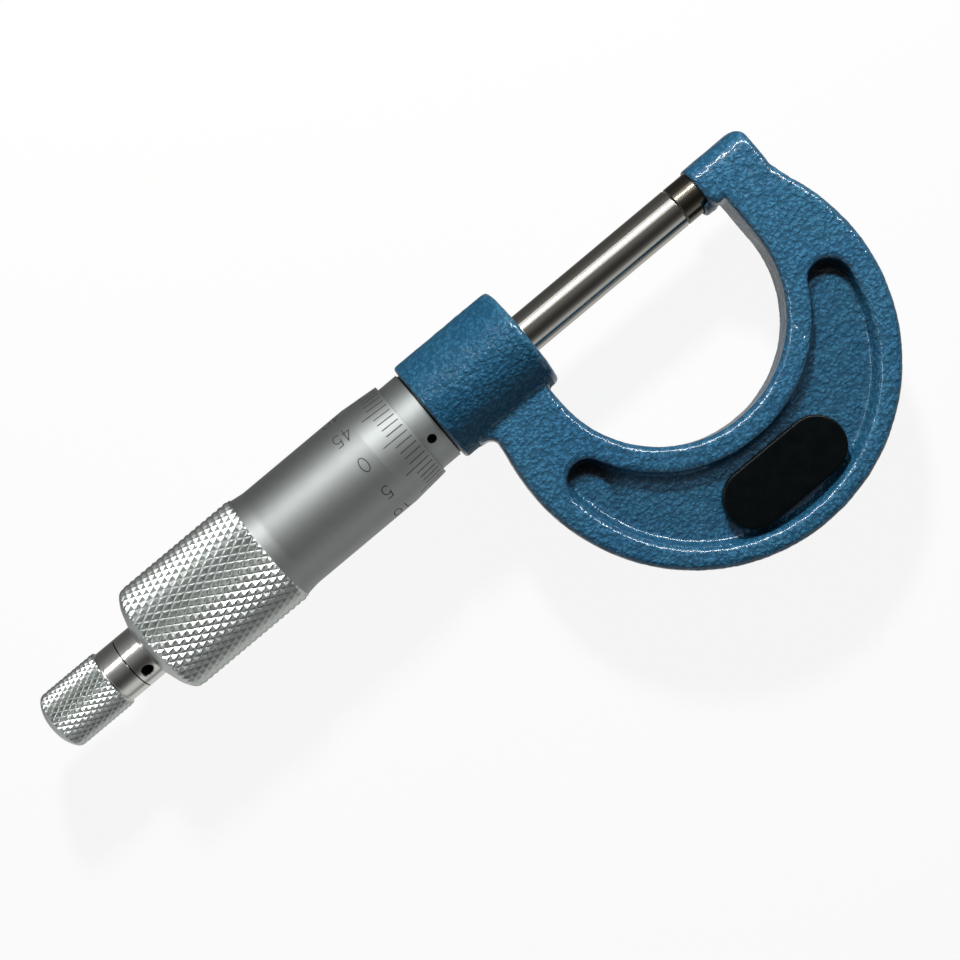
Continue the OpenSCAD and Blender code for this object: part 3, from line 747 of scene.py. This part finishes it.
class Engraving:
    """Filled strokes laid on a turned surface, gathered into one mesh."""

    def __init__(self, radius_at):
        self.radius_at = radius_at
        self.points, self.faces = [], []

    def stroke(self, path, width):
        """A stroke along (x, arc length) points, the arc measured on the surface from +Z towards -Y."""
        corners = [np.array(p, float) for p in path]
        path = [corners[0]]
        for a, b in zip(corners, corners[1:]):
            steps = max(1, math.ceil(np.linalg.norm(b - a) / 0.3))
            path += [a + (b - a) * k / steps for k in range(1, steps + 1)]
        first = len(self.points)
        for i, p in enumerate(path):
            ahead, behind = path[min(i + 1, len(path) - 1)] - p, p - path[max(i - 1, 0)]
            runs = [d / np.linalg.norm(d) for d in (behind, ahead) if np.linalg.norm(d) > 0]
            sides = [np.array([-run[1], run[0]]) for run in runs]
            side = sum(sides)
            # a mitre at each bend, held short where the bend is sharp
            lean = float(np.dot(side / np.linalg.norm(side), sides[0]))
            side = side / max(np.linalg.norm(side), 0.3) / max(lean, 0.5)
            for offset, lift in ((1, 0.008), (-1, 0.008), (-1, -0.03), (1, -0.03)):
                x, s = p + side * offset * width / 2
                r = self.radius_at(x)
                angle = s / r
                self.points.append((x, -(r + lift) * math.sin(angle), (r + lift) * math.cos(angle)))
        for i in range(len(path) - 1):
            a, b = first + 4 * i, first + 4 * i + 4
            self.faces += [(a + k, a + (k + 1) % 4, b + (k + 1) % 4, b + k) for k in range(4)]
        last = first + 4 * (len(path) - 1)
        self.faces += [(first + 3, first + 2, first + 1, first), (last, last + 1, last + 2, last + 3)]

    def number(self, text, x, s, width):
        """Figures that read towards -X, with their tops towards growing arc length."""
        w, h = FIGURE_SIZE
        advance = w + FIGURE_GAP
        front = x + (len(text) * advance - FIGURE_GAP) / 2
        for k, character in enumerate(text):
            for path in FIGURES[character]:
                self.stroke([(front - k * advance - u * w, s + (v - 0.5) * h) for u, v in path], width)

    def piece(self, name, body):
        """The gathered strokes as one piece on a body."""
        obj = face_outward(mesh_object(name, self.points, self.faces), 30)
        return dress(obj, MATERIALS["graduation_ink"], body)


def thimble_radius(x):
    """Radius of the thimble's bevel and of the plain part behind it."""
    along = min(max(THIMBLE_FRONT - x, 0) / BEVEL_LENGTH, 1)
    return BEVEL_R + (BODY_R - BEVEL_R) * along


DIVISIONS = 50
scale = Engraving(thimble_radius)
for division in range(DIVISIONS):
    length = 4.8 if division % 5 == 0 else 3.35
    x0, x1 = THIMBLE_FRONT - 0.35, THIMBLE_FRONT - length
    angle = 2 * math.pi * division / DIVISIONS
    scale.stroke([(x0, angle * thimble_radius(x0)), (x1, angle * thimble_radius(x1))], 0.15)
    if division % 5 == 0:
        scale.number(str(division), THIMBLE_FRONT - 8.45, angle * BODY_R, 0.17)
scale.piece("thimble_graduations", "thimble")

# the sleeve's scale lies on the reading side, half a turn from +Z
scale = Engraving(lambda x: SLEEVE_R)
datum = math.pi * SLEEVE_R
OPEN, TRAVEL = 0.25, 25                       # how far open at rest, and the longest measure
zero_x = THIMBLE_FRONT + OPEN
scale.stroke([(zero_x + 1.2, datum), (zero_x - TRAVEL - 0.8, datum)], 0.16)
for half in range(2 * TRAVEL + 1):
    x = zero_x - half / 2
    up = 1 if half % 2 == 0 else -1
    length = 2.6 if half % 10 == 0 else 1.6
    scale.stroke([(x, datum), (x, datum + up * length)], 0.14)
    if half % 10 == 0:
        scale.number(str(half // 2), x, datum + 4.3, 0.19)
scale.piece("sleeve_graduations", "frame")


# ---------------------------------------------------------------- the lock

LEVER_TOP, LEVER_FACE, HUB_R = -7.8, -10.4, 3.8
LEVER_ANGLE, LEVER_REACH = math.radians(-110), 10.0
LEVER_BOX = (-43.2, -12.0, LEVER_FACE), (-33.6, 3.9, LEVER_TOP)
SCREW_BOX = (LOCK_X - SCREW_HEAD_R, -SCREW_HEAD_R, -11.0), (LOCK_X + SCREW_HEAD_R, SCREW_HEAD_R, -7.0)


def lever_field(x, y, z):
    """A round hub with a tapered arm that ends in a finger pad."""
    hub = post_z(x, y, z, HUB_R, LEVER_FACE, LEVER_TOP, 0.3)
    dx, dy = x - LOCK_X, y
    along = dx * math.cos(LEVER_ANGLE) + dy * math.sin(LEVER_ANGLE)
    across = -dx * math.sin(LEVER_ANGLE) + dy * math.cos(LEVER_ANGLE)
    t = np.clip(along / LEVER_REACH, 0, 1)
    flat = np.hypot(along - t * LEVER_REACH, across) - (3.1 - 1.1 * t)
    arm = extruded(flat, z - (LEVER_FACE + 0.75), 0.75, 0.3)
    body = join(hub, arm, 0.6)
    holes = np.minimum(post_z(x, y, z, 1.5, -14, 0), post_z(x, y, z, 2.3, -14, LEVER_FACE + 0.3))
    return cut(body, holes, 0.12)


def lock_screw_field(x, y, z):
    """A slotted cheese head over its shank."""
    head = post_z(x, y, z, SCREW_HEAD_R, LEVER_FACE - 0.6, LEVER_FACE + 0.3, 0.18)
    shank = post_z(x, y, z, 0.8, LEVER_FACE, -7.0)
    slot = np.maximum(np.abs(y) - 0.25, z - (LEVER_FACE - 0.2))
    return cut(np.minimum(head, shank), slot, 0.08)


def knob_screw_field(x, y, z):
    """The slotted screw at the bottom of the knob's counterbore."""
    under_head = high("ratchet_washer", 0) - 0.4
    end = low("ratchet_screw", 0)
    head = bar_x(x, y, z, SCREW_HEAD_R, end, under_head, 0.2)
    shank = bar_x(x, y, z, 1.2, under_head - 0.5, high("ratchet_screw", 0))
    slot = np.maximum(np.abs(z) - 0.3, x - (end + 0.7))
    return cut(np.minimum(head, shank), slot, 0.1)


lever = from_field("lock_lever_arm", lever_field, *LEVER_BOX, 0.12, 50)
dress(lever, MATERIALS["satin_chrome"], "lock", ["lock_lever"])
screw = from_field("lock_screw_head", lock_screw_field, *SCREW_BOX, 0.07, 50)
dress(screw, MATERIALS["inner_steel"], "lock", ["lock_screw"])
screw = from_field(
    "knob_screw_head", knob_screw_field, (low("ratchet_screw", 0), -SCREW_HEAD_R, -SCREW_HEAD_R),
    (high("ratchet_screw", 0), SCREW_HEAD_R, SCREW_HEAD_R), 0.08, 50
)
dress(screw, MATERIALS["inner_steel"], "thimble", ["ratchet_screw"])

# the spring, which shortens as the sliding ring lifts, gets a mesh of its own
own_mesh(frame["nodes"]["ratchet_spring"])


# ---------------------------------------------------------------- floor, light and camera

def light_world():
    """A studio seen in the metal: its brightness depends on the angle in degrees round the X axis."""
    world = bpy.data.worlds.new("studio")
    bpy.context.scene.world = world
    world.use_nodes = True
    g = Graph(world.node_tree)
    direction = g.node("ShaderNodeTexCoord").outputs["Generated"]
    xyz = g.node("ShaderNodeSeparateXYZ", {0: direction}).outputs
    turn = g.math("ARCTAN2", xyz["Y"], xyz["Z"])
    share = g.math("ADD", g.math("DIVIDE", turn, 2 * math.pi), 0.5)
    stops = [
        (-180, 0.5), (-140, 0.8), (-122, 0.7), (-114, 0.25), (-106, 0.25), (-98, 0.7), (-74, 0.75),
        (-58, 0.2), (-42, 0.065), (-28, 0.06), (-14, 0.11), (0, 0.21), (20, 0.30), (66, 0.25),
        (90, 0.14), (112, 0.12), (140, 0.12), (180, 0.4),
    ]
    ring = g.ramp(share, *[((angle + 180) / 360, (v, v * 0.99, v * 0.96)) for angle, v in stops])
    ends = g.ramp(g.math("ABSOLUTE", xyz["X"]), (0.55, 0.0), (0.95, 1.0))
    studio = g.mix(ends, ring, (0.5, 0.51, 0.52))
    rays = g.node("ShaderNodeLightPath").outputs
    studio = g.mix(rays["Is Diffuse Ray"], studio, (0.06, 0.06, 0.06))
    studio = g.mix(rays["Is Camera Ray"], studio, (0.93, 0.93, 0.93))
    world.node_tree.links.new(studio, world.node_tree.nodes["Background"].inputs["Color"])


def pale_floor():
    """A plain pale floor under the object, which the metal doesn't mirror."""
    reach, height = 2000, FLOOR_Z - 0.02
    corners = [(s * reach, t * reach, height) for s, t in ((-1, -1), (1, -1), (1, 1), (-1, 1))]
    floor = mesh_object("floor", corners, [(0, 1, 2, 3)])
    material = new_material("floor_paper", 0.0, 0.9)
    shader = material.node_tree.nodes["Principled BSDF"]
    shader.inputs["Base Color"].default_value = (0.12, 0.12, 0.12, 1)
    shader.inputs["Specular IOR Level"].default_value = 0.0
    shader.inputs["Emission Color"].default_value = (1, 1, 1, 1)
    shader.inputs["Emission Strength"].default_value = 0.9
    floor.data.materials.append(material)
    floor.visible_glossy = False
    floor.visible_diffuse = False


def softbox(name, centre, size, radiance):
    """A rectangular soft light over the object, in metres, with its long side near the X axis."""
    data = bpy.data.lights.new(name, "AREA")
    data.shape = "RECTANGLE"
    data.size, data.size_y = size
    data.energy = radiance * math.pi * size[0] * size[1]
    data.color = WARM_WHITE
    light = bpy.data.objects.new(name, data)
    bpy.context.scene.collection.objects.link(light)
    light.location = centre
    light.rotation_euler = (Vector(centre) - Vector(MIDDLE)).to_track_quat("Z", "X").to_euler()
    light.visible_camera = False
    return light


MIDDLE = (-0.05, -0.005, 0.0)
WARM_WHITE = (1.0, 0.99, 0.97)
light_world()
pale_floor()
# four lights are only mirrored, in the metal and the enamel's coat, and one lights the enamel itself
softbox("key", (0.069, 0.172, 0.252), (0.21, 0.47), 1.35).visible_diffuse = False
softbox("lamp", (0.08, 0.265, 0.385), (0.035, 0.30), 36.0).visible_diffuse = False
softbox("top", (0.120, 0.312, 0.262), (0.05, 0.05), 235.0).visible_glossy = False
softbox("right", (0.25, 0.12, 0.38), (0.035, 0.24), 40.0).visible_diffuse = False
softbox("left", (-0.255, 0.24, 0.385), (0.035, 0.18), 22.0).visible_diffuse = False

camera = bpy.data.objects.new("camera", bpy.data.cameras.new("camera"))
bpy.context.scene.collection.objects.link(camera)
# straight above the back, placed and turned as in the photo
camera.location = (-0.04894, -0.01252, 0.286)
camera.rotation_euler = (0, 0, math.radians(-39.90))
camera.data.lens = 71.3
bpy.context.scene.camera = camera
bpy.context.scene.view_settings.view_transform = "Standard"
